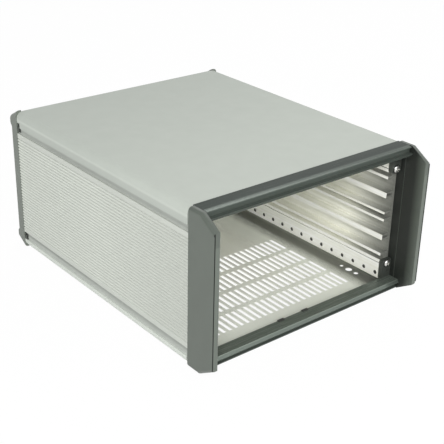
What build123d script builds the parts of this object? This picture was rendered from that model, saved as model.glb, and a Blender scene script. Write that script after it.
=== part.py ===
from build123d import *
import os

# Desktop rack case, three units high and forty-two plug-in widths wide.
# X runs across the case, Y from the front opening to the rear, Z up.
# The origin is the middle of the case's footprint, on the surface it stands on.
# A section's u is measured inwards from the outer side, d inwards from the top or bottom.

# Whole case
case_width = 252.5
case_height = 148.8
body_length = 279.3

# Front and rear trims at the four vertical corners
trim_thickness = 6.0
trim_edge_radius = 3.5
front_trim_depth = 33.0
front_trim_flat = 15.0
front_trim_drop = 11.0
rear_trim_depth = 12.7
rear_trim_flat = 1.0
rear_trim_drop = 6.6
rear_bar_depth = 10.2
rear_head_height = 15.0
rear_head_taper = 3.2
trim_groove_inset = 0.4
trim_groove_width = 1.0
trim_groove_depth = 0.8
trim_line_front = 9.0
trim_line_width = 0.8
trim_line_depth = 0.5

# Folded sheet covers
sheet = 1.5
cover_side_set_in = 0.5
cover_top_set_in = 0.8
cover_bend_radius = 7.2
cover_front_gap = 0.3
top_flange_depth = 15.7
bottom_flange_depth = 8.6

# Ventilation slots in the bottom cover
slot_width = 3.6
slot_length = 24.2
slot_pitch_across = 7.07
slot_pitch_along = 29.95
slot_columns = 25
slot_rows = 4
slot_field_shift = 2.2
first_slot_front = 19.9

# Foot holes in the bottom cover, front row first
foot_hole_inset = 19.3
foot_hole_middle = 37.3
foot_hole_spacing = 10.0
foot_hole_radius = 3.5
foot_pilot_radius = 2.5
foot_pin_radius = 2.0
small_hole_sides = 8

# Side frame extrusion
frame_face_depth = 18.0
frame_wall_depth = 8.0
frame_wall = 2.5
frame_skin = 2.0
corner_bottom = 8.2
corner_top = 28.3
leg_inset = 8.0
port_inset = 12.0
port_height = 24.9
port_radius = 2.0
port_sides = 12
port_slit = 1.0
port_boss_width = 10.5
port_boss_height = 7.0
groove_width = 4.7
groove_floor_depth = 12.0
lip_thickness = 2.5
ledge_offset = 22.05
ledge_height = 5.3
ledge_wall = 1.4
centre_slot = 5.2
centre_lip = 2.2
hole_height = 13.25
hole_radius = 2.0
hole_sides = 8
hole_pitch = 15.0
first_hole = 4.0
last_hole_margin = 4.0

# Ribbed outer panel
panel_set_in = 0.2
panel_bottom = 18.0
panel_top_margin = 22.6
rib_pitch = 3.12
rib_depth = 0.7
rib_groove_top = 1.7
rib_groove_floor = 0.7
rib_margin = 5.6

# Front rails
rail_back = 1.8
rail_bevel_start = 10.4
rail_lip_front = 15.0
rail_lip_drop = 0.8
rail_lip_height = 1.8
rail_recess_floor = 12.5
rail_bead_height = 6.6
rail_bead_front = 17.2
rail_bead_inner = 15.2
rail_inner = 9.8
rail_web_back = 2.8
rail_tongue_reach = 4.0
rail_tongue = 1.7
rail_end_gap = 0.3

# Rear rails
rear_rail_depth = 9.5
rear_rail_drop = 7.2
rear_rail_web = 2.0

# Corner lugs and their screws
lug_thickness = 4.5
lug_corner_radius = 2.0
lug_hole_radius = 2.3
lug_hole_sides = 12
screw_shank_radius = 1.7
screw_shank_sides = 8
screw_head_radius = 3.8
screw_head_sides = 16
screw_head_height = 2.2
screw_head_bevel = 1.0
screw_grip = 10.0

# Plugs that close the side gaps beside the rear trims
plug_length = 4.8
plug_thickness = 1.3
plug_gap = 0.2
upper_plug_lift = 1.3
upper_plug_height = 9.5

# Spring clips on the front bottom rail
clip_width = 6.5
clip_sheet = 0.6
clip_arm = 2.6
clip_drop = 3.4
clip_crown = 0.9
clip_places = (-23.2, 6.2)

# Places worked out from the sizes above
half_width = case_width / 2
total_depth = front_trim_depth + body_length + rear_trim_depth
front_plane = -total_depth / 2 + front_trim_depth
rear_plane = front_plane + body_length
mid_height = Plane.XY.offset(case_height / 2)
cover_inner = cover_top_set_in + sheet
skin_inner = cover_side_set_in + sheet
panel_top = case_height - panel_top_margin
upper_plug_bottom = panel_top + upper_plug_lift
upper_plug_top = upper_plug_bottom + upper_plug_height


def across(u):
    """X of a point u inside the outer face of the left side."""
    return u - half_width


def box_section(u_0, u_1, z_0, z_1):
    """Rectangle of a cross section, given by its limits on the left side."""
    middle = (across((u_0 + u_1) / 2), (z_0 + z_1) / 2)
    return Pos(*middle) * Rectangle(u_1 - u_0, z_1 - z_0)


def outline(points):
    """Face bounded by straight lines through the points."""
    return make_face(Polyline(*points, close=True))


def along_y(section, front, rear):
    """Extrude a section across the case from one Y to another."""
    return Pos(0, front, 0) * extrude(Plane.XZ * section, rear - front, dir=(0, 1, 0))


def along_x(section, left, right):
    """Extrude a side-view section from one X to another."""
    return Pos(left, 0, 0) * extrude(Plane.YZ * section, right - left)


def mirrored_top(part):
    """Copy of a bottom part, turned over to the top."""
    return mirror(part, about=mid_height)


def mirrored_right(part):
    """Copy of a left part on the right side."""
    return mirror(part, about=Plane.YZ)


def cover_shell(flange_depth):
    """Folded sheet with two rounded edges, its flat face down."""
    width = -2 * across(cover_side_set_in)
    middle = cover_top_set_in + flange_depth / 2
    outer = Pos(0, middle) * Rectangle(width, flange_depth)
    inner = Pos(0, middle + sheet) * Rectangle(width - 2 * sheet, flange_depth)
    outer = fillet(outer.vertices().group_by(Axis.Y)[0], cover_bend_radius)
    inner = fillet(inner.vertices().group_by(Axis.Y)[0], cover_bend_radius - sheet)
    return along_y(outer - inner, front_plane + rail_back + cover_front_gap, rear_plane)


def vent_slots():
    """Cutters for the rows of ventilation slots."""
    row_middle = front_plane + first_slot_front + slot_length / 2
    row_middle += slot_pitch_along * (slot_rows - 1) / 2
    slot = extrude(Rectangle(slot_width, slot_length), 2 * cover_inner)
    places = GridLocations(slot_pitch_across, slot_pitch_along, slot_columns, slot_rows)
    return [Pos(slot_field_shift, row_middle, 0) * place * slot for place in places]


def foot_holes():
    """Cutters for the foot hole at each corner and the two small holes beside it."""
    height = 2 * cover_inner
    hole = extrude(Circle(foot_hole_radius), height)
    pilot = extrude(RegularPolygon(foot_pilot_radius, small_hole_sides), height)
    pin = extrude(RegularPolygon(foot_pin_radius, small_hole_sides), height)
    cutters = []
    for side in (-1, 1):
        x = side * (half_width - foot_hole_inset)
        for step, cutter in enumerate((pilot, hole, pin), start=-1):
            inset = foot_hole_middle + step * foot_hole_spacing
            for y in (front_plane + inset, rear_plane - inset):
                cutters.append(Pos(x, y, 0) * cutter)
    return cutters


def bottom_cover():
    """Floor of the case with its slots and foot holes."""
    return cover_shell(bottom_flange_depth) - vent_slots() - foot_holes()


def top_cover():
    """Plain top with notches in its side flanges for the upper plugs."""
    shell = mirrored_top(cover_shell(top_flange_depth))
    top = upper_plug_top + plug_gap
    bottom = case_height - cover_top_set_in - top_flange_depth
    notch = box_section(0, skin_inner, bottom, top)
    notch = along_y(notch, rear_plane - plug_length - plug_gap, rear_plane)
    return shell - notch - mirrored_right(notch)


def corner_section():
    """Hollow corner of the side frame, with its screw port and nut groove."""
    corner = box_section(frame_skin, frame_face_depth, corner_bottom, corner_top)
    corner -= box_section(2 * frame_skin, frame_face_depth - frame_skin,
                          corner_bottom + frame_skin, corner_top - port_boss_height)
    corner -= box_section(2 * frame_skin, frame_face_depth - port_boss_width,
                          corner_bottom + frame_skin, corner_top - frame_skin)
    port = Pos(across(port_inset), port_height) * RegularPolygon(port_radius, port_sides)
    slit = box_section(port_inset, frame_face_depth,
                       port_height - port_slit / 2, port_height + port_slit / 2)
    leg = box_section(leg_inset, leg_inset + frame_skin, cover_inner, corner_bottom)
    groove_top = corner_top + groove_width
    floor = box_section(frame_wall_depth, groove_floor_depth, corner_top, groove_top)
    lip = box_section(frame_wall_depth, frame_face_depth, groove_top, groove_top + lip_thickness)
    return corner - port - slit + leg + floor + lip


def ledge_section():
    """Hollow ledge below mid-height, with the web that backs the outer panel."""
    middle = case_height / 2 - ledge_offset
    half = ledge_height / 2
    ledge = box_section(frame_wall_depth, frame_face_depth, middle - half, middle + half)
    ledge -= box_section(frame_wall_depth + ledge_wall, frame_face_depth - ledge_wall,
                         middle - half + ledge_wall, middle + half - ledge_wall)
    web = box_section(frame_skin, frame_wall_depth - frame_wall,
                      middle - frame_skin / 2, middle + frame_skin / 2)
    lip_bottom = case_height / 2 - centre_slot / 2 - centre_lip
    lip = box_section(frame_wall_depth, frame_face_depth, lip_bottom, lip_bottom + centre_lip)
    return ledge + web + lip


def rail_holes():
    """Cutters for the hole row of the lower left corner: the front one round, plain behind."""
    count = int((body_length - first_hole - last_hole_margin) // hole_pitch) + 1
    left = across(frame_face_depth - frame_skin)
    right = left + 2 * frame_skin
    cutters = []
    for i in range(count):
        shape = RegularPolygon(hole_radius, hole_sides) if i else Circle(hole_radius)
        place = Pos(front_plane + first_hole + i * hole_pitch, hole_height)
        cutters.append(along_x(place * shape, left, right))
    return cutters


def side_frame():
    """Left side frame: one extrusion, the same above and below mid-height."""
    lower = corner_section() + ledge_section()
    middle = case_height / 2
    wall = box_section(frame_wall_depth - frame_wall, frame_wall_depth, corner_top, middle)
    lower_half = along_y(lower + wall, front_plane, rear_plane) - rail_holes()
    return lower_half + mirrored_top(lower_half)


def ribbed_panel():
    """Left outer panel with fine grooves along the case."""
    plate = box_section(panel_set_in, frame_skin, panel_bottom, panel_top)
    lowest = panel_bottom + rib_margin
    count = int((panel_top - rib_margin - lowest) // rib_pitch) + 1
    outer = across(panel_set_in)
    floor = outer + rib_depth
    for i in range(count):
        z = lowest + i * rib_pitch
        plate -= outline([(outer, z - rib_groove_top / 2), (floor, z - rib_groove_floor / 2),
                          (floor, z + rib_groove_floor / 2), (outer, z + rib_groove_top / 2)])
    return along_y(plate, front_plane, rear_plane)


def front_trim():
    """Left front trim: chamfered ends, a fine groove at its front corner and a line inside."""
    back = front_plane
    flat = back - front_trim_flat
    front = back - front_trim_depth
    top = case_height
    shape = outline([(back, 0), (flat, 0), (front, front_trim_drop),
                     (front, top - front_trim_drop), (flat, top), (back, top)])
    left = -half_width
    trim = along_x(shape, left, left + trim_thickness)
    ends = [e for e in trim.edges() if abs(e.center().X - left) < 1e-3
            and not front_trim_drop < e.center().Z < top - front_trim_drop]
    trim = fillet(ends, trim_edge_radius)
    groove = box_section(trim_groove_inset, trim_groove_inset + trim_groove_width,
                         front_trim_drop, top - front_trim_drop)
    line = box_section(trim_thickness - trim_line_depth, trim_thickness, rail_inner, top - rail_inner)
    line_rear = back - trim_line_front
    trim -= along_y(groove, front, front + trim_groove_depth)
    return trim - along_y(line, line_rear - trim_line_width, line_rear)


def rear_trim():
    """Left rear trim: a bar between two deeper heads with chamfered ends."""
    start = rear_plane
    flat = start + rear_trim_flat
    back = start + rear_trim_depth
    bar = start + rear_bar_depth
    top = case_height
    head = rear_head_height
    waist = head + rear_head_taper
    shape = outline([(start, 0), (flat, 0), (back, rear_trim_drop), (back, head), (bar, waist),
                     (bar, top - waist), (back, top - head), (back, top - rear_trim_drop),
                     (flat, top), (start, top)])
    left = -half_width
    trim = along_x(shape, left, left + trim_thickness)
    ends = [e for e in trim.edges() if abs(e.center().X - left) < 1e-3
            and not rear_trim_drop < e.center().Z < top - rear_trim_drop]
    return fillet(ends, trim_edge_radius)


def rail_tongue_bar(front, rear):
    """Tongue under the cover's edge, shorter than the rail so that it clears the side frames."""
    section = Pos((front + rear) / 2, cover_inner + rail_tongue / 2)
    section *= Rectangle(rear - front, rail_tongue)
    end = across(leg_inset + frame_skin + rail_end_gap)
    return along_x(section, end, -end)


def front_rail():
    """Front bottom rail: lip, deep recess, bevelled inner bead and tongue."""
    back = front_plane + rail_back
    web = front_plane - rail_web_back
    seat = front_plane - rail_end_gap
    lip = front_plane - rail_lip_front
    recess = front_plane - rail_recess_floor
    tongue = cover_inner + rail_tongue
    shape = outline([(back, 0), (front_plane - rail_bevel_start, 0), (lip, rail_lip_drop),
                     (lip, rail_lip_height), (recess, rail_lip_height),
                     (recess, rail_bead_height), (front_plane - rail_bead_front, rail_bead_height),
                     (front_plane - rail_bead_inner, rail_inner), (web, rail_inner),
                     (web, tongue), (seat, tongue), (seat, cover_inner), (back, cover_inner)])
    end = across(trim_thickness)
    tongue_bar = rail_tongue_bar(seat, front_plane + rail_tongue_reach)
    return along_x(shape, end, -end) + tongue_bar


def rear_rail():
    """Rear bottom rail, set lower than the trims, with a sloping outer face and a tongue."""
    web = rear_plane + rear_trim_flat
    back = rear_plane + rear_rail_depth
    seat = rear_plane + rail_end_gap
    tongue = cover_inner + rail_tongue
    shape = outline([(seat, cover_inner), (web, cover_inner), (back, rear_rail_drop),
                     (back, rail_inner), (web, rail_inner), (web, tongue), (seat, tongue)])
    end = across(trim_thickness)
    tongue_bar = rail_tongue_bar(rear_plane - rail_tongue_reach, seat)
    return along_x(shape, end, -end) + tongue_bar


def lug(back, outwards):
    """Lower left corner lug on the end of the side frame; outwards is -1 or 1 along Y."""
    plate = box_section(trim_thickness, frame_face_depth, rail_inner, corner_top)
    tip = plate.vertices().group_by(Axis.X)[-1].sort_by(Axis.Y)[-1]
    plate = fillet(tip, lug_corner_radius)
    hole = RegularPolygon(lug_hole_radius, lug_hole_sides)
    plate -= Pos(across(port_inset), port_height) * hole
    face = back + outwards * lug_thickness
    return along_y(plate, min(back, face), max(back, face))


def screw(back, outwards):
    """Pan-head screw in the lower left lug, its shank in the frame's port."""
    disc = RegularPolygon(screw_head_radius, screw_head_sides)
    rim = screw_head_height - screw_head_bevel
    body = Pos(0, 0, lug_thickness) * extrude(disc, rim)
    body += Pos(0, 0, lug_thickness + rim) * extrude(disc, screw_head_bevel, taper=45)
    shank = RegularPolygon(screw_shank_radius, screw_shank_sides)
    body += Pos(0, 0, -screw_grip) * extrude(shank, screw_grip + lug_thickness)
    return Pos(across(port_inset), back, port_height) * Rot(-90 * outwards, 0, 0) * body


def plug(bottom, top):
    """Block that closes the left side gap just in front of the rear trim."""
    section = box_section(frame_skin - plug_thickness, frame_skin, bottom, top)
    return along_y(section, rear_plane - plug_length, rear_plane)


def rail_clip(x):
    """Spring clip bent over the inner back edge of the front bottom rail."""
    web = front_plane - rail_web_back
    over = rail_inner + clip_sheet
    shape = outline([(web - clip_arm, rail_inner), (web, rail_inner), (web, rail_inner - clip_drop),
                     (web + clip_sheet, rail_inner - clip_drop), (web + clip_sheet, over),
                     (web - clip_sheet, over + clip_crown), (web - clip_arm, over)])
    return along_x(shape, x - clip_width / 2, x + clip_width / 2)


def four_corners(part):
    """The lower left part and its copies at the other three corners."""
    upper = mirrored_top(part)
    return [part, mirrored_right(part), upper, mirrored_right(upper)]


def build():
    """All nodes by name."""
    nodes = {"top_cover": top_cover(), "bottom_cover": bottom_cover()}
    sides = {"side_frame": side_frame(), "ribbed_panel": ribbed_panel(),
             "front_trim": front_trim(), "rear_trim": rear_trim(),
             "upper_side_plug": plug(upper_plug_bottom, upper_plug_top),
             "lower_side_plug": plug(cover_top_set_in + bottom_flange_depth + plug_gap,
                                     panel_bottom - plug_gap)}
    for name, part in sides.items():
        nodes["left_" + name] = part
        nodes["right_" + name] = mirrored_right(part)
    for end, rail in (("front", front_rail()), ("rear", rear_rail())):
        nodes[end + "_bottom_rail"] = rail
        nodes[end + "_top_rail"] = mirrored_top(rail)
    corners = ("lower_left", "lower_right", "upper_left", "upper_right")
    for end, back, outwards in (("front", front_plane, -1), ("rear", rear_plane, 1)):
        for corner, part in zip(corners, four_corners(lug(back, outwards))):
            nodes[f"{end}_{corner}_lug"] = part
        nodes[end + "_lug_screws"] = Compound(four_corners(screw(back, outwards)))
    for name, x in zip(("left_rail_clip", "right_rail_clip"), clip_places):
        nodes[name] = rail_clip(x)
    return nodes


os.makedirs("parts", exist_ok=True)
for node, part in build().items():
    export_step(part, f"parts/{node}.step")
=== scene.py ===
"""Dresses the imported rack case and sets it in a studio.

Every node of the CAD gets its finish. The lugs, screws and plugs are replaced by finer pieces.
"""
import logging
import math
from dataclasses import dataclass, field
from enum import Enum

import bmesh
import bpy
from mathutils import Matrix, Quaternion, Vector
from mathutils.geometry import tessellate_polygon


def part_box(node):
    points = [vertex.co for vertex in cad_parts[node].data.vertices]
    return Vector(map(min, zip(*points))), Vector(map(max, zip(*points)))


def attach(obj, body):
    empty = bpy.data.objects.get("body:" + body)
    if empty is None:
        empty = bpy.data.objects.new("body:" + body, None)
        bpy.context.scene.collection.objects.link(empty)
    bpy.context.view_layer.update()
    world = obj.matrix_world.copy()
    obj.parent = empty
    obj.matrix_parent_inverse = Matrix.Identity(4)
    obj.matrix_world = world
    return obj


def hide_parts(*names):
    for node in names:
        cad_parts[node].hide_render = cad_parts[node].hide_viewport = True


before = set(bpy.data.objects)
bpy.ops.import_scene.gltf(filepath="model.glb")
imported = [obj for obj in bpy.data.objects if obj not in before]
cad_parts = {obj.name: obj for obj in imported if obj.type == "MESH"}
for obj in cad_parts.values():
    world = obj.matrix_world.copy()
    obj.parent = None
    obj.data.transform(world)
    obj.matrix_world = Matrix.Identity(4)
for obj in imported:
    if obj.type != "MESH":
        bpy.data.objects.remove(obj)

LOG = logging.getLogger("rack_case")
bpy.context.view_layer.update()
BODY = "root"
MM = 0.001
HAIR = 0.05 * MM
FAR = 1.0

Color = tuple[float, float, float]
Span = tuple[float, float]
Point = tuple[float, float, float]
Widths = tuple[float, float, float]
Spot = tuple[float, float]
Socket = bpy.types.NodeSocket
Loop = list[bmesh.types.BMVert]


class Grain(Enum):
    """Direction in which a surface's fine marks run, as a stretch of its place."""

    EVEN = (1.0, 1.0, 1.0)
    ALONG_CASE = (1.0, 0.012, 1.0)
    ACROSS_CASE = (0.012, 1.0, 1.0)


class Graph:
    """A material's node tree, with short calls that add and join nodes."""

    def __init__(self, name: str) -> None:
        """Start an empty node material.

        Args:
            name: The material's name.
        """
        self.material = bpy.data.materials.new(name)
        self.material.use_nodes = True
        self.tree = self.material.node_tree
        self.tree.nodes.clear()
        self.output = self.tree.nodes.new("ShaderNodeOutputMaterial")

    def add(self, kind: str, **settings: object) -> bpy.types.Node:
        """Add a node.

        Args:
            kind: The node's type without its ShaderNode prefix.
            settings: Properties to set on the node.

        Returns:
            The new node.
        """
        node = self.tree.nodes.new("ShaderNode" + kind)
        for name, value in settings.items():
            setattr(node, name, value)
        return node

    def join(self, source: Socket, target: Socket) -> None:
        """Link two sockets.

        Args:
            source: An output socket.
            target: An input socket.
        """
        self.tree.links.new(source, target)

    def math(self, operation: str, first: Socket, second: Socket | float | None = None) -> Socket:
        """Work out a value from one or two others.

        Args:
            operation: The operation's name.
            first: The first value.
            second: The second value, a socket or a number.

        Returns:
            The result's socket.
        """
        node = self.add("Math", operation=operation)
        self.join(first, node.inputs[0])
        if isinstance(second, float):
            node.inputs[1].default_value = second
        elif second is not None:
            self.join(second, node.inputs[1])
        return node.outputs[0]

    def place(self, scale: Point) -> Socket:
        """Object coordinates stretched by a scale.

        Args:
            scale: Factor along X, Y and Z.

        Returns:
            The vector socket.
        """
        coordinates = self.add("TexCoord")
        mapping = self.add("Mapping")
        mapping.inputs["Scale"].default_value = scale
        self.join(coordinates.outputs["Object"], mapping.inputs["Vector"])
        return mapping.outputs["Vector"]

    def noise(self, vector: Socket, scale: float, detail: float = 2.0) -> Socket:
        """Soft noise between 0 and 1.

        Args:
            vector: The place to read it at.
            scale: Number of blotches in a metre.
            detail: Number of finer layers.

        Returns:
            The value socket.
        """
        noise = self.add("TexNoise")
        noise.inputs["Scale"].default_value = scale
        noise.inputs["Detail"].default_value = detail
        self.join(vector, noise.inputs["Vector"])
        return noise.outputs["Fac"]

    def span(self, value: Socket, low: float, high: float,
             start: float = 0.3, end: float = 0.7) -> Socket:
        """Spread a value's middle range over another range.

        Args:
            value: A socket.
            low: What the range's start becomes.
            high: What the range's end becomes.
            start: The range's start.
            end: The range's end.

        Returns:
            The spread value, kept between low and high.
        """
        spread = self.add("MapRange")
        limits = {"From Min": start, "From Max": end, "To Min": low, "To Max": high}
        for name, number in limits.items():
            spread.inputs[name].default_value = number
        self.join(value, spread.inputs["Value"])
        return spread.outputs["Result"]

    def between(self, factor: Socket, first: Socket | Color, second: Socket | Color) -> Socket:
        """Colour between two others.

        Args:
            factor: 0 for the first colour, 1 for the second.
            first: The first colour, linear, or its socket.
            second: The second colour, linear, or its socket.

        Returns:
            The colour socket.
        """
        mix = self.add("Mix", data_type="RGBA")
        for color, target in ((first, mix.inputs["A"]), (second, mix.inputs["B"])):
            if isinstance(color, tuple):
                target.default_value = (*color, 1.0)
            else:
                self.join(color, target)
        self.join(factor, mix.inputs["Factor"])
        return mix.outputs["Result"]

    def bump(self, height: Socket, depth: float, strength: float) -> Socket:
        """Surface normal disturbed by a height.

        Args:
            height: The height's socket.
            depth: Depth of the marks in metres.
            strength: Share of the full effect.

        Returns:
            The normal socket.
        """
        bump = self.add("Bump")
        bump.inputs["Distance"].default_value = depth
        bump.inputs["Strength"].default_value = strength
        self.join(height, bump.inputs["Height"])
        return bump.outputs["Normal"]

    def seen_white(self) -> Socket:
        """Tell rays that see or mirror the studio from those that carry its light.

        Returns:
            1 for rays that see or mirror it, 0 for its light.
        """
        ray = self.add("LightPath")
        straight = self.math("MAXIMUM", ray.outputs["Is Camera Ray"], ray.outputs["Is Glossy Ray"])
        return self.math("MAXIMUM", straight, ray.outputs["Is Transmission Ray"])


@dataclass(frozen=True)
class Skin:
    """A second colour and sheen in one region of the case, the same left and right.

    The region's limits are places in the case's frame, across counted from its middle plane, and
    soft says how gradually it starts and ends across, along and up.
    """

    color: Color
    roughness: float
    metallic: float = 0.0
    across: Span = (-FAR, FAR)
    along: Span = (-FAR, FAR)
    up: Span = (-FAR, FAR)
    soft: Widths = (HAIR, HAIR, HAIR)

    def share(self, graph: Graph) -> Socket:
        """Where the skin lies.

        Args:
            graph: The material's graph.

        Returns:
            1 inside the region and 0 outside it.
        """
        split = graph.add("SeparateXYZ")
        graph.join(graph.place(Grain.EVEN.value), split.inputs[0])
        sideways = graph.math("ABSOLUTE", split.outputs["X"])
        share = None
        values = (sideways, split.outputs["Y"], split.outputs["Z"])
        spans = (self.across, self.along, self.up)
        for value, (low, high), soft in zip(values, spans, self.soft):
            for limit, before, after in ((low, 0.0, 1.0), (high, 1.0, 0.0)):
                if abs(limit) < FAR:
                    step = graph.span(value, before, after, limit - soft, limit + soft)
                    share = step if share is None else graph.math("MULTIPLY", share, step)
        return share


@dataclass(frozen=True)
class Finish:
    """A surface finish: colour, sheen, grain and fine relief."""

    name: str
    color: Color
    roughness: float
    metallic: float = 0.0
    specular: float = 0.5
    mottle: float = 0.03
    mottle_scale: float = 60.0
    grain: Grain = Grain.EVEN
    grain_scale: float = 1800.0
    grain_depth: float = 0.02 * MM
    grain_strength: float = 0.3
    grain_shade: float = 0.03
    grain_detail: float = 3.0
    streak_shade: float = 0.0
    streak_scale: float = 260.0
    streak_detail: float = 4.0
    roughness_play: float = 0.06
    skins: tuple[Skin, ...] = ()

    @property
    def swing(self) -> float:
        """How far the tone swings either way, as a share of the colour."""
        return self.mottle + self.grain_shade + self.streak_shade

    def pattern(self, graph: Graph, marks: Socket) -> Socket:
        """Light and dark of the surface: clouds, grain and streaks in their shares.

        Args:
            graph: The material's graph.
            marks: The fine grain.

        Returns:
            A value between 0 and 1.
        """
        cloud = graph.noise(graph.place(Grain.EVEN.value), self.mottle_scale)
        total = graph.math("MULTIPLY", cloud, self.mottle / self.swing)
        fine = graph.math("MULTIPLY", marks, self.grain_shade / self.swing)
        total = graph.math("ADD", total, fine)
        if self.streak_shade:
            place = graph.place(self.grain.value)
            streaks = graph.noise(place, self.streak_scale, self.streak_detail)
            drawn = graph.math("MULTIPLY", streaks, self.streak_shade / self.swing)
            total = graph.math("ADD", total, drawn)
        return graph.span(total, 0.0, 1.0)

    def colors(self, color: Color) -> tuple[Color, Color]:
        """The darkest and lightest tone of a colour under the pattern.

        Args:
            color: The middle colour, linear.

        Returns:
            Two linear colours.
        """
        factors = (1.0 - self.swing, 1.0 + self.swing)
        return tuple(tuple(min(max(c * k, 0.0), 1.0) for c in color) for k in factors)

    def make(self) -> bpy.types.Material:
        """Build the material.

        Returns:
            The node material.
        """
        graph = Graph(self.name)
        shader = graph.add("BsdfPrincipled")
        shader.inputs["Specular IOR Level"].default_value = self.specular
        marks = graph.noise(graph.place(self.grain.value), self.grain_scale, self.grain_detail)
        pattern = self.pattern(graph, marks)
        color = graph.between(pattern, *self.colors(self.color))
        play = self.roughness_play
        rough = graph.span(marks, self.roughness - play, self.roughness + play)
        shader.inputs["Metallic"].default_value = self.metallic
        metal = None
        for skin in self.skins:
            share = skin.share(graph)
            color = graph.between(share, color, graph.between(pattern, *self.colors(skin.color)))
            change = graph.math("MULTIPLY", share, skin.roughness - self.roughness)
            rough = graph.math("ADD", rough, change)
            if skin.metallic != self.metallic:
                change = graph.math("MULTIPLY", share, skin.metallic - self.metallic)
                metal = graph.math("ADD", change, self.metallic if metal is None else metal)
        if metal is not None:
            graph.join(metal, shader.inputs["Metallic"])
        graph.join(color, shader.inputs["Base Color"])
        graph.join(rough, shader.inputs["Roughness"])
        normal = graph.bump(marks, self.grain_depth, self.grain_strength)
        graph.join(normal, shader.inputs["Normal"])
        graph.join(shader.outputs["BSDF"], graph.output.inputs["Surface"])
        return graph.material


# Covers: coated sheet, bare on its inside, with painted light on the upper bend, the lower flange
# and the floor's middle, and painted shade on the upper flange, the rear and the floor's edges.
FRAME_FACE = 118.3 * MM
FLOOR_FACE = (0.95 * MM, 4.0 * MM)
INSIDE_SHEET = Skin((0.78, 0.80, 0.735), 0.36, 0.3, across=(-FAR, FRAME_FACE),
                    up=(FLOOR_FACE[0], 147.0 * MM))
# Painted light: the inner floor's middle and rear made lighter, as a pool of light.
FLOOR_MIDDLE_PAINTED_LIGHT = Skin((0.98, 0.99, 0.92), 0.36, 0.3, across=(-FAR, 62.0 * MM),
                    along=(-70.0 * MM, FAR), up=FLOOR_FACE, soft=(20.0 * MM, 30.0 * MM, HAIR))
# Painted shade: the inner floor darker beside the side frames, where their shadow falls.
FLOOR_EDGE_PAINTED_SHADE = Skin((0.32, 0.33, 0.298), 0.42, 0.3, across=(93.0 * MM, FRAME_FACE),
                    up=FLOOR_FACE, soft=(7.0 * MM, HAIR, HAIR))
SLOT_WALL = Skin((0.95, 0.95, 0.93), 0.25, 1.0, across=(-FAR, FRAME_FACE),
                 up=(0.85 * MM, 1.74 * MM))
# Painted light: the bottom cover's flange lighter, as if lit from the floor below.
LOWER_FLANGE_PAINTED_LIGHT = Skin((0.59, 0.624, 0.575), 0.5, across=(FRAME_FACE, FAR), up=(-FAR, 20.0 * MM),
                    soft=(2.0 * MM, HAIR, HAIR))
# Painted shade: the covers darker towards the rear.
COVER_REAR_PAINTED_SHADE = Skin((0.408, 0.438, 0.399), 0.58, along=(40.0 * MM, FAR),
                soft=(HAIR, 110.0 * MM, HAIR))
# Painted shade: the top cover's side flange darker than its top.
UPPER_FLANGE_PAINTED_SHADE = Skin((0.404, 0.433, 0.394), 0.55, across=(124.0 * MM, FAR),
                    up=(100.0 * MM, 138.6 * MM), soft=(0.5 * MM, HAIR, 0.6 * MM))
# Painted highlight: a lighter strip along the lower part of the top cover's bend.
UPPER_BEND_PAINTED_HIGHLIGHT = Skin((0.478, 0.511, 0.465), 0.5, across=(122.5 * MM, FAR),
                  up=(138.8 * MM, 141.0 * MM), soft=(0.5 * MM, HAIR, 0.9 * MM))
COVER_COAT = Finish("cover_coat", (0.45, 0.482, 0.438), 0.58, specular=0.35, mottle=0.015,
                    grain_scale=2600.0, grain_depth=0.03 * MM,
                    skins=(COVER_REAR_PAINTED_SHADE, UPPER_FLANGE_PAINTED_SHADE, UPPER_BEND_PAINTED_HIGHLIGHT, LOWER_FLANGE_PAINTED_LIGHT,
                           INSIDE_SHEET, FLOOR_MIDDLE_PAINTED_LIGHT, FLOOR_EDGE_PAINTED_SHADE, SLOT_WALL))

# Ribbed panels: a paler coat, with painted shade at the front, the margins and the grooves.
# Painted shade: the ribbed panels darker towards the front.
PANEL_FRONT_PAINTED_SHADE = Skin((0.468, 0.492, 0.446), 0.45, along=(-FAR, -55.0 * MM),
                   soft=(HAIR, 60.0 * MM, HAIR))
# Painted shade: the panels' top and bottom margins darker beside the gaps.
MARGIN_PAINTED_SHADE = (0.49, 0.515, 0.468)
UPPER_MARGIN_PAINTED_SHADE = Skin(MARGIN_PAINTED_SHADE, 0.45, up=(121.3 * MM, FAR))
LOWER_MARGIN_PAINTED_SHADE = Skin(MARGIN_PAINTED_SHADE, 0.45, up=(-FAR, 22.6 * MM))
# Painted shade: the valleys between the ribs darker.
GROOVE_PAINTED_SHADE = Skin((0.425, 0.446, 0.407), 0.6, across=(-FAR, 125.7 * MM),
                    soft=(0.15 * MM, HAIR, HAIR))
PANEL_COAT = Finish("panel_coat", (0.562, 0.591, 0.535), 0.45, mottle=0.012,
                    grain_shade=0.012, grain_depth=0.01 * MM, grain_strength=0.15,
                    skins=(PANEL_FRONT_PAINTED_SHADE, UPPER_MARGIN_PAINTED_SHADE, LOWER_MARGIN_PAINTED_SHADE, GROOVE_PAINTED_SHADE))

# Side frames: bare aluminium, with painted shade in the recesses and their mouths, the holes and
# the outer gaps, and a grey coat outside.
RECESS_FACE = 109.0 * MM
# Painted shade: the recessed wall a little darker than the ledges.
RECESS_PAINTED_SHADE = Skin((0.92, 0.922, 0.79), 0.42, 0.1, across=(RECESS_FACE, FAR),
                    soft=(0.3 * MM, HAIR, HAIR))
# Painted shade: the recesses dark near the front end, in the shadow of the trims and lugs.
RECESS_MOUTH_PAINTED_SHADE = Skin((0.14, 0.146, 0.128), 0.45, 0.1, across=(RECESS_FACE, FAR),
                   along=(-FAR, -104.0 * MM), soft=(0.3 * MM, 27.0 * MM, HAIR))
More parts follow.
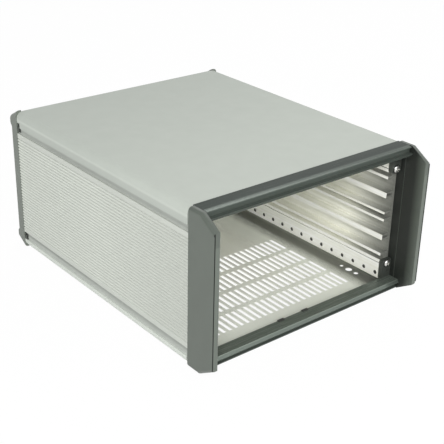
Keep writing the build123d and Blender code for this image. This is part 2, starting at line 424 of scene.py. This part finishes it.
# Painted shade: the walls of the frames' rows of holes dark.
HOLE_PAINTED_SHADE = (0.05, 0.052, 0.047)
HOLE_DEPTH = (108.3 * MM, 110.24 * MM)
HOLE_ROW = (-128.5 * MM, 149.0 * MM)
HOLE_SOFT = (0.02 * MM, HAIR, HAIR)
LOWER_HOLES_PAINTED_SHADE = Skin(HOLE_PAINTED_SHADE, 0.5, 0.1, across=HOLE_DEPTH, along=HOLE_ROW,
                   up=(11.0 * MM, 15.5 * MM), soft=HOLE_SOFT)
UPPER_HOLES_PAINTED_SHADE = Skin(HOLE_PAINTED_SHADE, 0.5, 0.1, across=HOLE_DEPTH, along=HOLE_ROW,
                   up=(133.3 * MM, 137.8 * MM), soft=HOLE_SOFT)
WEB_FACE = 123.4 * MM
# The frames' outer web: a grey coat, darkened further with painted shade behind the gaps.
OUTER_WEB_COAT_AND_SHADE = Skin((0.46, 0.485, 0.45), 0.6, across=(WEB_FACE, FAR))
# Painted shade: dark bands in the gaps above and below the ribbed panels.
UPPER_GAP_PAINTED_SHADE = Skin((0.27, 0.288, 0.262), 0.6, across=(WEB_FACE, FAR),
                 up=(127.5 * MM, 131.1 * MM), soft=(HAIR, HAIR, 1.8 * MM))
LOWER_GAP_PAINTED_SHADE = Skin((0.28, 0.298, 0.272), 0.6, across=(WEB_FACE, FAR),
                 up=(13.0 * MM, 17.2 * MM), soft=(HAIR, HAIR, 2.2 * MM))
BARE_METAL = Finish("bare_metal", (0.98, 0.98, 0.84), 0.36, metallic=0.1,
                    grain=Grain.ALONG_CASE, grain_scale=2400.0, grain_strength=0.4,
                    streak_shade=0.13, streak_scale=380.0,
                    skins=(RECESS_PAINTED_SHADE, RECESS_MOUTH_PAINTED_SHADE, LOWER_HOLES_PAINTED_SHADE, UPPER_HOLES_PAINTED_SHADE,
                           OUTER_WEB_COAT_AND_SHADE, UPPER_GAP_PAINTED_SHADE, LOWER_GAP_PAINTED_SHADE))

# Corner trims: dark plastic, with painted shade inside, at the top and in the groove, and painted
# light at the rear.
TRIM_INNER = 120.7 * MM
# Painted shade: the trims' inner faces near black, lightening towards the front edge.
TRIM_INSIDE_PAINTED_SHADE = Skin((0.011, 0.0135, 0.011), 0.5, across=(-FAR, TRIM_INNER),
                   along=(-157.0 * MM, FAR), soft=(HAIR, 6.0 * MM, HAIR))
# Painted shade: the front trims' top slopes darker.
TRIM_TOP_PAINTED_SHADE = Skin((0.072, 0.085, 0.071), 0.4, across=(TRIM_INNER, 125.9 * MM),
                along=(-FAR, -129.0 * MM), up=(125.0 * MM, FAR))
# Painted shade: the front trims' groove dark.
TRIM_GROOVE_PAINTED_SHADE = Skin((0.012, 0.014, 0.012), 0.6, across=(124.7 * MM, 125.95 * MM),
                   along=(-162.42 * MM, -161.6 * MM), up=(11.4 * MM, 137.4 * MM))
# Painted light: the rear trims' outer faces lighter, standing in for their sheen.
TRIM_REAR_PAINTED_LIGHT = Skin((0.135, 0.152, 0.13), 0.4, across=(TRIM_INNER, FAR), along=(149.0 * MM, FAR))
TRIM_PLASTIC = Finish("trim_plastic", (0.096, 0.112, 0.094), 0.4, grain_scale=3200.0,
                      grain_depth=0.04 * MM, grain_strength=0.45,
                      skins=(TRIM_INSIDE_PAINTED_SHADE, TRIM_TOP_PAINTED_SHADE, TRIM_GROOVE_PAINTED_SHADE, TRIM_REAR_PAINTED_LIGHT))

# Rails: a dark coat, with painted shade on the upper rails' flat and painted light on the lower
# rails' inside.
# Painted shade: the upper rails' flat top darker.
RAIL_FLAT_PAINTED_SHADE = Skin((0.042, 0.052, 0.045), 0.22, 0.25, up=(148.72 * MM, FAR))
# Painted light: the lower rails' inside face lighter.
RAIL_INSIDE_PAINTED_LIGHT = Skin((0.12, 0.14, 0.12), 0.25, 0.35, up=(9.2 * MM, 20.0 * MM))
RAIL_COAT = Finish("rail_coat", (0.084, 0.099, 0.087), 0.22, metallic=0.35, specular=0.05,
                   grain=Grain.ACROSS_CASE, grain_scale=2200.0, grain_strength=0.25,
                   streak_shade=0.04, skins=(RAIL_FLAT_PAINTED_SHADE, RAIL_INSIDE_PAINTED_LIGHT))

# Small parts.
BLACK_PLASTIC = Finish("black_plastic", (0.038, 0.043, 0.037), 0.42, grain_scale=3200.0)
ZINC = Finish("zinc_plate", (0.70, 0.70, 0.67), 0.26, metallic=1.0, grain_scale=5000.0,
              grain_strength=0.2)
BLACK_STEEL = Finish("black_steel", (0.012, 0.013, 0.012), 0.45, metallic=0.5, grain_scale=4000.0)
SPRING_STEEL = Finish("spring_steel", (0.045, 0.047, 0.042), 0.4, metallic=0.5, grain_scale=4000.0)

DRESS = {
    "top_cover": COVER_COAT, "bottom_cover": COVER_COAT,
    "side_frame": BARE_METAL, "ribbed_panel": PANEL_COAT,
    "front_trim": TRIM_PLASTIC, "rear_trim": TRIM_PLASTIC,
    "side_plug": BLACK_PLASTIC, "lug": BLACK_PLASTIC, "rail_clip": SPRING_STEEL,
    "lug_screws": ZINC, "rail": RAIL_COAT,
}


class Finishes:
    """Materials made once for each finish."""

    made: dict[str, bpy.types.Material] = {}

    @classmethod
    def of(cls, finish: Finish) -> bpy.types.Material:
        """Find a finish's material, made when it is first asked for.

        Args:
            finish: The finish.

        Returns:
            Its material.
        """
        if finish.name not in cls.made:
            cls.made[finish.name] = finish.make()
        return cls.made[finish.name]


@dataclass(frozen=True)
class Lamp:
    """An oblong lamp that faces the case: where it hangs, its watts, width and height."""

    name: str
    place: Point
    power: float
    width: float
    height: float

    def hang(self, target: Vector) -> None:
        """Hang the lamp.

        Args:
            target: The point it faces.
        """
        data = bpy.data.lights.new(self.name, "AREA")
        data.energy = self.power
        data.shape = "RECTANGLE"
        data.size = self.width
        data.size_y = self.height
        lamp = bpy.data.objects.new(self.name, data)
        lamp.location = self.place
        lamp.rotation_mode = "QUATERNION"
        lamp.rotation_quaternion = (target - Vector(self.place)).to_track_quat("-Z", "Y")
        bpy.context.scene.collection.objects.link(lamp)


@dataclass
class Studio:
    """Pale floor, white surround, lamps and the camera."""

    camera_place: Point = (-0.54938, -0.68162, 0.46832)
    camera_target: Point = (-0.003313, -0.022979, 0.060)
    camera_roll: float = math.radians(1.342)
    camera_clip: Span = (0.01, 50.0)
    sensor: float = 36.0
    focal_pixels: float = 978.08
    image_pixels: float = 444.0
    surround: float = 0.464
    floor_size: float = 12.0
    floor_color: Color = (0.95, 0.95, 0.95)
    floor_glow: float = 0.96
    lamps: tuple[Lamp, ...] = (
        Lamp("front_lamp", (-1.52, -1.90, 1.50), 66.0, 1.0, 1.0),
        Lamp("back_lamp", (1.07, 0.64, 1.29), 4.6, 0.8, 0.36),
        Lamp("right_lamp", (1.05, -1.48, 0.9), 7.0, 0.8, 0.8),
        Lamp("low_lamp", (0.42, -1.78, 0.72), 4.0, 0.8, 0.5),
    )

    def camera(self) -> None:
        """Set the camera where the photograph was taken from."""
        data = bpy.data.cameras.new("camera")
        data.sensor_width = self.sensor
        data.lens = self.focal_pixels / self.image_pixels * self.sensor
        data.clip_start, data.clip_end = self.camera_clip
        camera = bpy.data.objects.new("camera", data)
        bpy.context.scene.collection.objects.link(camera)
        forward = Vector(self.camera_target) - Vector(self.camera_place)
        camera.rotation_mode = "QUATERNION"
        level = forward.to_track_quat("-Z", "Y")
        camera.rotation_quaternion = level @ Quaternion((0.0, 0.0, 1.0), self.camera_roll)
        camera.location = self.camera_place
        bpy.context.scene.camera = camera

    def world(self) -> None:
        """Surround the case with soft white light, pure white where it is seen or mirrored."""
        world = bpy.data.worlds.new("studio")
        bpy.context.scene.world = world
        world.use_nodes = True
        tree = world.node_tree
        tree.nodes.clear()
        output = tree.nodes.new("ShaderNodeOutputWorld")
        background = tree.nodes.new("ShaderNodeBackground")
        background.inputs["Color"].default_value = (1.0, 1.0, 1.0, 1.0)
        ray = tree.nodes.new("ShaderNodeLightPath")
        seen = tree.nodes.new("ShaderNodeMath")
        seen.operation = "MAXIMUM"
        level = tree.nodes.new("ShaderNodeMapRange")
        level.inputs["To Min"].default_value = self.surround
        level.inputs["To Max"].default_value = 1.0
        tree.links.new(ray.outputs["Is Camera Ray"], seen.inputs[0])
        tree.links.new(ray.outputs["Is Glossy Ray"], seen.inputs[1])
        tree.links.new(seen.outputs[0], level.inputs["Value"])
        tree.links.new(level.outputs["Result"], background.inputs["Strength"])
        tree.links.new(background.outputs[0], output.inputs["Surface"])

    def floor(self) -> None:
        """Lay a pale floor that stays white to the camera and keeps a soft shadow."""
        mesh = bpy.data.meshes.new("floor")
        half = self.floor_size / 2
        corners = [(-half, -half, 0.0), (half, -half, 0.0), (half, half, 0.0), (-half, half, 0.0)]
        mesh.from_pydata(corners, [], [(0, 1, 2, 3)])
        floor = bpy.data.objects.new("floor", mesh)
        bpy.context.scene.collection.objects.link(floor)
        graph = Graph("floor_paper")
        paper = graph.add("BsdfDiffuse")
        paper.inputs["Color"].default_value = (*self.floor_color, 1.0)
        glow = graph.add("Emission")
        mix = graph.add("MixShader")
        graph.join(graph.math("MULTIPLY", graph.seen_white(), self.floor_glow), mix.inputs["Fac"])
        graph.join(paper.outputs[0], mix.inputs[1])
        graph.join(glow.outputs[0], mix.inputs[2])
        graph.join(mix.outputs[0], graph.output.inputs["Surface"])
        floor.data.materials.append(graph.material)

    def build(self) -> None:
        """Make the whole studio."""
        bpy.context.scene.view_settings.view_transform = "Standard"
        self.camera()
        self.world()
        self.floor()
        for lamp in self.lamps:
            lamp.hang(Vector(self.camera_target))
        LOG.info("studio: camera, surround, floor and %d lamps", len(self.lamps))


@dataclass
class Frame:
    """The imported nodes, which keep their shape and get their finish."""

    edge: float = 0.15 * MM
    edge_segments: int = 2
    weld: float = 0.002 * MM
    flat_angle: float = math.radians(0.5)
    edge_angle: float = math.radians(35.0)
    bend_angle: float = math.radians(32.0)

    def bends(self) -> bpy.types.NodeTree:
        """Make the nodes that shade a folded sheet's bends as round.

        Returns:
            A geometry node group: smooth faces, and sharp edges where they turn by more than a
            bend does.
        """
        group = bpy.data.node_groups.new("soft_bends", "GeometryNodeTree")
        for way in ("INPUT", "OUTPUT"):
            group.interface.new_socket("Geometry", in_out=way, socket_type="NodeSocketGeometry")
        start = group.nodes.new("NodeGroupInput")
        end = group.nodes.new("NodeGroupOutput")
        faces = group.nodes.new("GeometryNodeSetShadeSmooth")
        edges = group.nodes.new("GeometryNodeSetShadeSmooth")
        edges.domain = "EDGE"
        edges.inputs["Shade Smooth"].default_value = False
        turn = group.nodes.new("GeometryNodeInputMeshEdgeAngle")
        steep = group.nodes.new("ShaderNodeMath")
        steep.operation = "GREATER_THAN"
        steep.inputs[1].default_value = self.bend_angle
        links = ((start.outputs[0], faces.inputs[0]), (faces.outputs[0], edges.inputs[0]),
                 (turn.outputs["Unsigned Angle"], steep.inputs[0]),
                 (steep.outputs[0], edges.inputs["Selection"]), (edges.outputs[0], end.inputs[0]))
        for source, target in links:
            group.links.new(source, target)
        return group

    def finish_of(self, node: str) -> Finish:
        """The finish whose key is the longest that ends the node's name.

        Args:
            node: The node's name.

        Returns:
            The finish.
        """
        keys = [key for key in DRESS if node.endswith(key)]
        return DRESS[max(keys, key=len)]

    def dress(self, node: str, piece: bpy.types.Object, bends: bpy.types.NodeTree) -> None:
        """Give a node its finish and soften its edges.

        Args:
            node: The node's name.
            piece: Its object.
            bends: The nodes that shade its bends.
        """
        piece.data.materials.clear()
        piece.data.materials.append(Finishes.of(self.finish_of(node)))
        weld = piece.modifiers.new("weld", "WELD")
        weld.merge_threshold = self.weld
        flat = piece.modifiers.new("flat", "DECIMATE")
        flat.decimate_type = "DISSOLVE"
        flat.angle_limit = self.flat_angle
        bevel = piece.modifiers.new("edge", "BEVEL")
        bevel.width = self.edge
        bevel.segments = self.edge_segments
        bevel.limit_method = "ANGLE"
        bevel.angle_limit = self.edge_angle
        piece.modifiers.new("bends", "NODES").node_group = bends
        level = piece.modifiers.new("level", "WEIGHTED_NORMAL")
        level.keep_sharp = True

    def build(self) -> None:
        """Dress every node."""
        bends = self.bends()
        for node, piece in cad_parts.items():
            self.dress(node, piece, bends)
            LOG.info("node %s: %s", node, self.finish_of(node).name)


@dataclass(frozen=True)
class Seat:
    """A place on the case with its own axes: across, up and out of the surface."""

    origin: Point
    across: Point
    up: Point
    out: Point

    def at(self, point: Spot, height: float) -> Vector:
        """A place in the case's frame.

        Args:
            point: Distances across and up.
            height: Distance out of the surface.

        Returns:
            The place, in metres.
        """
        ways = zip((self.across, self.up, self.out), (*point, height))
        return Vector(self.origin) + sum((Vector(way) * size for way, size in ways), Vector())


@dataclass
class Maker:
    """Builds closed meshes from loops of points and makes them pieces that ride on the case."""

    name: str
    finish: Finish
    slot: str
    nodes: tuple[str, ...] = ()
    edge: float = 0.0
    edge_segments: int = 3
    smooth_angle: float = math.radians(38.0)
    edge_angle: float = math.radians(50.0)
    shape: bmesh.types.BMesh = field(default_factory=bmesh.new)

    def loop(self, seat: Seat, points: list[Spot], height: float) -> Loop:
        """Add a closed loop of corners.

        Args:
            seat: The axes that the points are in.
            points: The loop's points across and up.
            height: Their distance out.

        Returns:
            The corners.
        """
        return [self.shape.verts.new(seat.at(point, height)) for point in points]

    def wall(self, first: Loop, second: Loop) -> None:
        """Join two loops of as many corners with faces.

        Args:
            first: One loop.
            second: The other.
        """
        for i, corner in enumerate(first):
            self.shape.faces.new((first[i - 1], corner, second[i], second[i - 1]))

    def fan(self, rim: Loop, tip: Vector) -> None:
        """Close a loop with faces that meet in one point.

        Args:
            rim: The loop.
            tip: The point.
        """
        middle = self.shape.verts.new(tip)
        for i, corner in enumerate(rim):
            self.shape.faces.new((rim[i - 1], corner, middle))

    def sheet(self, *loops: Loop) -> None:
        """Fill a flat outline, leaving its holes open.

        Args:
            loops: The outline and then the holes.
        """
        corners = [corner for loop in loops for corner in loop]
        places = [[corner.co for corner in loop] for loop in loops]
        for triangle in tessellate_polygon(places):
            self.shape.faces.new([corners[i] for i in triangle])

    def plate(self, seat: Seat, outline: list[Spot], thickness: float, holes: list[list[Spot]],
              steps: list[tuple[list[Spot], float]]) -> None:
        """Add a plate with holes through it and steps on its face.

        Args:
            seat: The axes, with the plate's back at height 0.
            outline: Its outline.
            thickness: Its thickness.
            holes: Outlines of the holes.
            steps: Outlines with how far each stands proud of the face, below 0 for a pocket.
        """
        face, back = self.loop(seat, outline, thickness), self.loop(seat, outline, 0.0)
        self.wall(back, face)
        fronts, backs = [face], [back]
        for points in holes:
            fronts.append(self.loop(seat, points, thickness))
            backs.append(self.loop(seat, points, 0.0))
            self.wall(fronts[-1], backs[-1])
        for points, rise in steps:
            fronts.append(self.loop(seat, points, thickness))
            top = self.loop(seat, points, thickness + rise)
            self.wall(fronts[-1], top)
            self.sheet(top)
        self.sheet(*fronts)
        self.sheet(*backs)

    def finished(self) -> None:
        """Turn the shape into a piece with its finish and body, in place of the nodes it stands
        for.
        """
        bmesh.ops.recalc_face_normals(self.shape, faces=self.shape.faces)
        mesh = bpy.data.meshes.new(self.name)
        self.shape.to_mesh(mesh)
        self.shape.free()
        piece = bpy.data.objects.new(self.name, mesh)
        bpy.context.scene.collection.objects.link(piece)
        mesh.materials.append(Finishes.of(self.finish))
        mesh.shade_smooth()
        mesh.set_sharp_from_angle(angle=self.smooth_angle)
        if self.edge:
            bevel = piece.modifiers.new("edge", "BEVEL")
            bevel.width = self.edge
            bevel.segments = self.edge_segments
            bevel.limit_method = "ANGLE"
            bevel.angle_limit = self.edge_angle
            bevel.harden_normals = True
        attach(piece, BODY)
        if self.nodes:
            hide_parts(*self.nodes)
        LOG.info("piece %s: %d faces, stands for %s", self.name, len(mesh.polygons), self.nodes)


def circle(center: Spot, radius: float, sides: int, turn: float = 0.0) -> list[Spot]:
    """Points round a circle.

    Args:
        center: Its centre.
        radius: Its radius.
        sides: How many points.
        turn: Angle of the first point.

    Returns:
        The points.
    """
    angles = [turn + math.tau * i / sides for i in range(sides)]
    return [(center[0] + radius * math.cos(a), center[1] + radius * math.sin(a)) for a in angles]


def oblong(low: Spot, high: Spot) -> list[Spot]:
    """The corners of a rectangle.

    Args:
        low: Its first corner.
        high: The corner opposite.

    Returns:
        The four corners in order.
    """
    return [low, (high[0], low[1]), high, (low[0], high[1])]


@dataclass
class Corners:
    """The eight corner lugs with their washers and screws, front and rear."""

    lug_width: float = 12.0 * MM
    lug_height: float = 18.5 * MM
    lug_thickness: float = 4.5 * MM
    lug_radius: float = 2.0 * MM
    lug_arc: int = 8
    lug_edge: float = 0.2 * MM
    hole_radius: float = 2.3 * MM
    notch_width: float = 0.9 * MM
    notch_span: Span = (5.2 * MM, 8.4 * MM)
    notch_places: tuple[float, ...] = (1.7 * MM, 3.5 * MM, 5.3 * MM)
    notch_depth: float = 0.6 * MM
    screw_spot: Spot = (6.0 * MM, 15.1 * MM)
    washer_radius: float = 4.35 * MM
    washer_bore: float = 1.9 * MM
    washer_thickness: float = 0.4 * MM
    washer_teeth: int = 18
    tooth_depth: float = 0.35 * MM
    head_radius: float = 3.8 * MM
    head_height: float = 1.8 * MM
    rim_height: float = 0.5 * MM
    dome_shares: tuple[float, ...] = (1.0, 0.975, 0.91, 0.8, 0.66)
    shank_radius: float = 1.7 * MM
    tip_radius: float = 0.9 * MM
    tip_length: float = 1.0 * MM
    grip: float = 10.0 * MM
    arm_width: float = 0.42 * MM
    arm_middle: float = 1.0 * MM
    arm_reach: float = 1.95 * MM
    recess_depth: float = 1.2 * MM
    recess_taper: float = 0.7
    first_turn: float = 0.35
    turn_step: float = 0.9
    sides: int = 24

    def lug_outline(self) -> list[Spot]:
        """The lug's outline with its free corner rounded.

        Returns:
            Its points.
        """
        x, y, r = self.lug_width, self.lug_height, self.lug_radius
        steps = [math.pi / 2 * i / self.lug_arc for i in range(self.lug_arc + 1)]
        arc = [(x - r + r * math.cos(a), y - r + r * math.sin(a)) for a in steps]
        return [(0.0, 0.0), (x, 0.0), *arc, (0.0, y)]

    def lug(self, name: str, seat: Seat) -> None:
        """Build one lug in place of its node.

        Args:
            name: The node's name.
            seat: The lug's axes, from its corner between trim and rail.
        """
        maker = Maker(name + "_moulded", BLACK_PLASTIC, "lug_black", (name,), self.lug_edge)
        half = self.notch_width / 2
        low, high = self.notch_span
        notches = [(oblong((x - half, low), (x + half, high)), -self.notch_depth)
                   for x in self.notch_places]
        hole = circle(self.screw_spot, self.hole_radius, self.sides)
        maker.plate(seat, self.lug_outline(), self.lug_thickness, [hole], notches)
        maker.finished()

    def washer(self, maker: Maker, seat: Seat) -> None:
        """Add a toothed washer under a screw's head.

        Args:
            maker: The washers' maker.
            seat: Axes with the screw's middle on the lug's face.
        """
        rim = []
        for i in range(2 * self.washer_teeth):
            radius = self.washer_radius - self.tooth_depth * (i % 2)
            rim += circle((0.0, 0.0), radius, 1, math.pi * i / self.washer_teeth)
        bore = circle((0.0, 0.0), self.washer_bore, self.sides)
        maker.plate(seat, rim, self.washer_thickness, [bore], [])

    def cross(self, scale: float, turn: float) -> list[Spot]:
        """Outline of the cross recess.

        Args:
            scale: Share of its full size.
            turn: How far the cross is turned.

        Returns:
            As many points as the head's rings have.
        """
        w, m, r = self.arm_width, self.arm_middle, self.arm_reach
        arm = [(w, -w), (m, -w), (r, -w), (r, 0.0), (r, w), (m, w)]
        points = []
        for quarter in range(4):
            spin = Matrix.Rotation(turn + quarter * math.pi / 2, 2)
            points += [tuple(spin @ Vector(point) * scale) for point in arm]
        return points

    def screw(self, maker: Maker, seat: Seat, turn: float) -> None:
        """Add a pan-head screw.

        Args:
            maker: The screws' maker.
            seat: Axes with the screw's middle on the washer's face.
            turn: How far the cross is turned.
        """
        middle = (0.0, 0.0)
        start = turn - math.pi / 4
        dome = self.head_height - self.rim_height
        foot = -self.grip - self.lug_thickness - self.washer_thickness
        profile = [(self.tip_radius, foot), (self.shank_radius, foot + self.tip_length),
                   (self.shank_radius, 0.0), (self.head_radius, 0.0)]
        for share in self.dome_shares:
            rise = self.rim_height + dome * math.sqrt(1.0 - share * share)
            profile.append((self.head_radius * share, rise))
        rings = [maker.loop(seat, circle(middle, radius, self.sides, start), height)
                 for radius, height in profile]
        rings.append(maker.loop(seat, self.cross(1.0, turn), self.head_height))
        floor = self.head_height - self.recess_depth
        rings.append(maker.loop(seat, self.cross(self.recess_taper, turn), floor))
        for first, second in zip(rings, rings[1:]):
            maker.wall(first, second)
        maker.fan(rings[0], seat.at(middle, foot))
        maker.fan(rings[-1], seat.at(middle, floor))

    def build(self) -> None:
        """Build both ends' lugs, washers and screws."""
        for end, out in (("front", -1.0), ("rear", 1.0)):
            washers = Maker(end + "_lug_washers", BLACK_STEEL, "clip_steel")
            screws = Maker(end + "_pan_screws", ZINC, "screw_zinc", (end + "_lug_screws",))
            turn = self.first_turn
            for level, up in (("lower", 1.0), ("upper", -1.0)):
                for side, across in (("left", 1.0), ("right", -1.0)):
                    name = f"{end}_{level}_{side}_lug"
                    low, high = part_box(name)
                    corner = (low[0] if across > 0 else high[0],
                              high[1] if out < 0 else low[1],
                              low[2] if up > 0 else high[2])
                    ways = ((across, 0.0, 0.0), (0.0, 0.0, up), (0.0, out, 0.0))
                    seat = Seat(corner, *ways)
                    self.lug(name, seat)
                    face = Seat(tuple(seat.at(self.screw_spot, self.lug_thickness)), *ways)
                    self.washer(washers, face)
                    bearing = Seat(tuple(face.at((0.0, 0.0), self.washer_thickness)), *ways)
                    self.screw(screws, bearing, turn)
                    turn += self.turn_step
            washers.finished()
            screws.finished()


@dataclass
class Plugs:
    """The stepped black blocks that close the side gaps beside the rear trims."""

    floor: float = 0.4 * MM
    rim: float = 0.3 * MM
    channel: float = 1.5 * MM
    pad_drop: float = 3.4 * MM
    peg_span: Span = (2.4 * MM, 3.9 * MM)
    peg_drops: Span = (2.6 * MM, 1.0 * MM)
    edge: float = 0.12 * MM

    def build(self) -> None:
        """Build the four plugs in place of their nodes."""
        for side, out in (("left", -1.0), ("right", 1.0)):
            for level in ("upper", "lower"):
                name = f"{side}_{level}_side_plug"
                low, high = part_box(name)
                length, height, depth = high[1] - low[1], high[2] - low[2], high[0] - low[0]
                seat = Seat((high[0] if out < 0 else low[0], low[1], low[2]),
                            (0.0, 1.0, 0.0), (0.0, 0.0, 1.0), (out, 0.0, 0.0))
                pad = oblong((self.channel, self.rim), (length - self.rim, height - self.pad_drop))
                peg = oblong((self.peg_span[0], height - self.peg_drops[0]),
                             (self.peg_span[1], height - self.peg_drops[1]))
                maker = Maker(name + "_moulded", BLACK_PLASTIC, "lug_black", (name,), self.edge)
                steps = [(outline, depth - self.floor) for outline in (pad, peg)]
                maker.plate(seat, oblong((0.0, 0.0), (length, height)), self.floor, [], steps)
                maker.finished()


def main() -> None:
    """Build the scene in order."""
    logging.basicConfig(level=logging.INFO, format="%(name)s %(message)s")
    Studio().build()
    Frame().build()
    Corners().build()
    Plugs().build()


if __name__ == "__main__":
    main()
